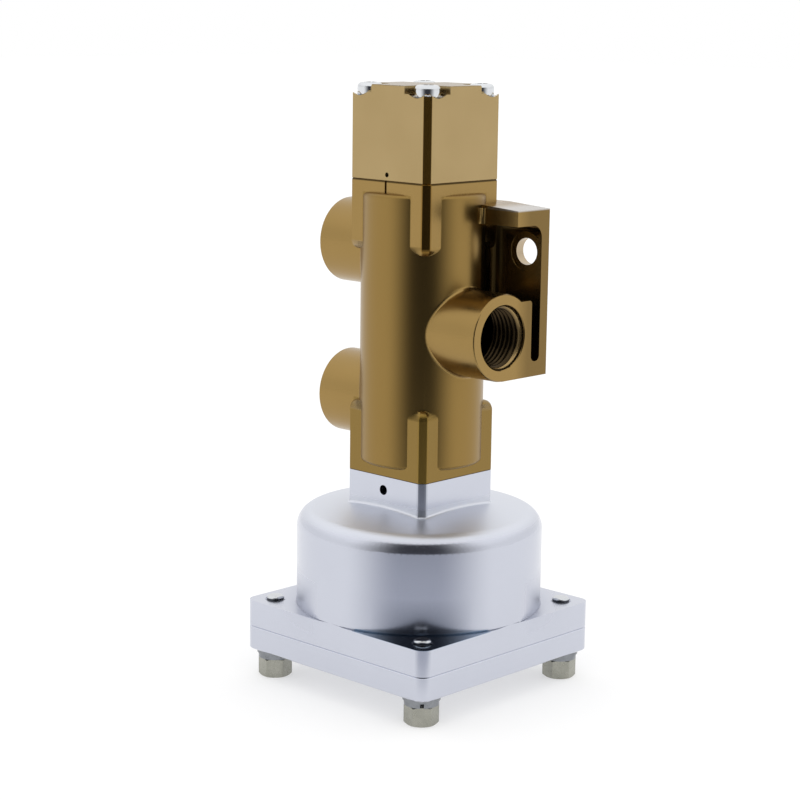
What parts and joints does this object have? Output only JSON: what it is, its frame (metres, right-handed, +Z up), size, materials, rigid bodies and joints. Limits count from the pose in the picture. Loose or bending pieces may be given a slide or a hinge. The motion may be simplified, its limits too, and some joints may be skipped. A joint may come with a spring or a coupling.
{
  "type": "purge valve",
  "caption": "Air-piloted purge valve: a ported square column with a side mounting bracket and an end cap, standing on a round diaphragm housing with a square bolted flange.",
  "frame": {"origin": "on the spool axis, level with the undersides of the flange nuts", "axes": "+Z up along the spool towards the end cap; +X out of the single front port; the rear ports open along -X; the bracket is on the +Y side"},
  "size_m": [0.0848, 0.0848, 0.2043],
  "materials": {
    "bronze_anodised": "satin bronze anodised, machined",
    "silver_anodised": "satin clear anodised, machined",
    "zinc_plated": "bright zinc plated",
    "nickel_plated": "bright nickel plated",
    "stainless": "ground",
    "spring_steel": "drawn wire",
    "brass_cage": "turned",
    "bearing_bronze": "turned",
    "black_rubber": "matt"
  },
  "bodies": {
    "valve": {"end_cap": "bronze_anodised", "valve_body": "bronze_anodised", "diaphragm_housing": "silver_anodised", "bottom_cover": "silver_anodised", "cap_screws": "zinc_plated", "housing_screws": "zinc_plated", "flange_studs": "zinc_plated", "flange_nuts": "nickel_plated", "flat_washers": "nickel_plated", "lock_washers": "nickel_plated", "cap_o_ring": "black_rubber", "housing_o_ring": "black_rubber", "spool_seal_1": "black_rubber", "spool_seal_2": "black_rubber", "spool_seal_3": "black_rubber", "spool_seal_4": "black_rubber", "diaphragm": "black_rubber", "lower_cage": "brass_cage", "middle_cage": "brass_cage", "upper_cage": "brass_cage", "lower_bush": "bearing_bronze", "upper_bush": "bearing_bronze", "return_spring": "spring_steel"},
    "spool_set": {"spool": "stainless", "push_rod": "stainless", "spring_follower": "stainless", "lower_plate": "silver_anodised", "upper_plate": "silver_anodised", "clamp_screw": "zinc_plated"}
  },
  "joints": [
    {"name": "spool_slide", "type": "slide", "parent": "valve", "child": "spool_set", "axis": [0, 0, 1], "range_m": [0, 0.009], "stiffness_N_per_m": 2000, "springref_m": -0.01, "deforming": ["return_spring", "diaphragm"]}
  ]
}
